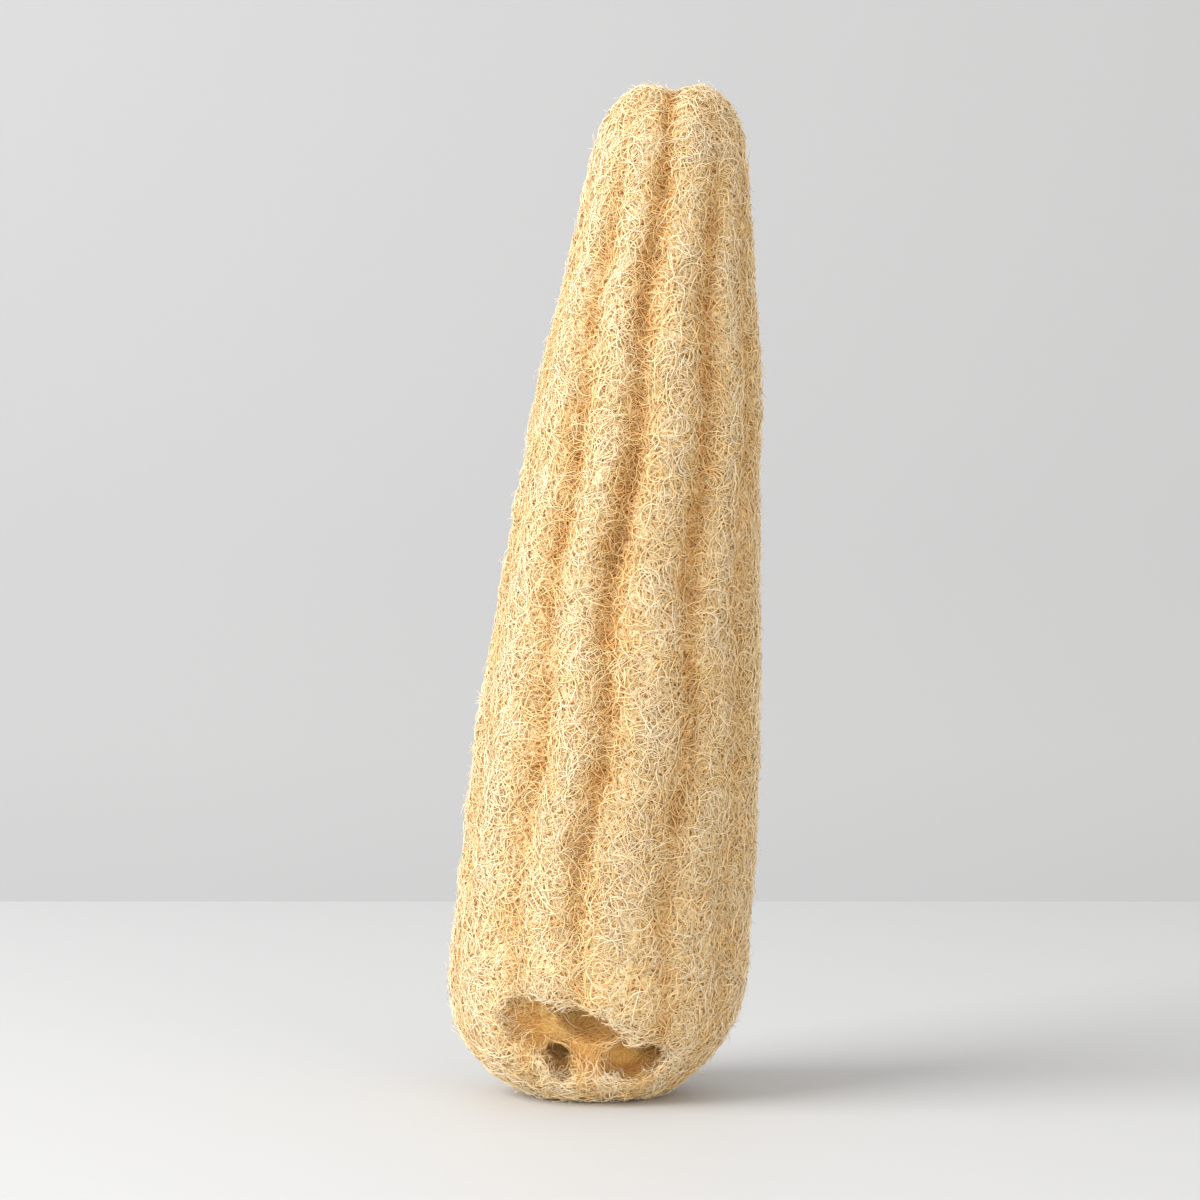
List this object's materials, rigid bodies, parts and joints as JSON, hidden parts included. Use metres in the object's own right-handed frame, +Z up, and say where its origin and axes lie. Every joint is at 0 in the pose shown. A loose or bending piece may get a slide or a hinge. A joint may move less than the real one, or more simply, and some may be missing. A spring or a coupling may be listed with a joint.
{
  "type": "natural loofah sponge",
  "caption": "Whole dried loofah fruit skeleton: a ribbed, tapering club of netted plant fibre that stands on its blunt end, with seed channels open in a torn mouth at the lower front.",
  "frame": {"origin": "the middle of the bounding box in X and Y, on the surface that the sponge stands on", "axes": "+Z up along the sponge, from its blunt lower end to its narrow top; -Y is the front, where the torn mouth is; +X is to the right seen from the front"},
  "size_m": [0.0932, 0.0842, 0.2999],
  "materials": {
    "dried_fibre": "dry matte cream to golden plant fibre, denser and paler on the ridges, deeper orange-brown in the furrows and hollows"
  },
  "bodies": {
    "root": {"loofah_sponge": "dried_fibre"}
  },
  "joints": []
}
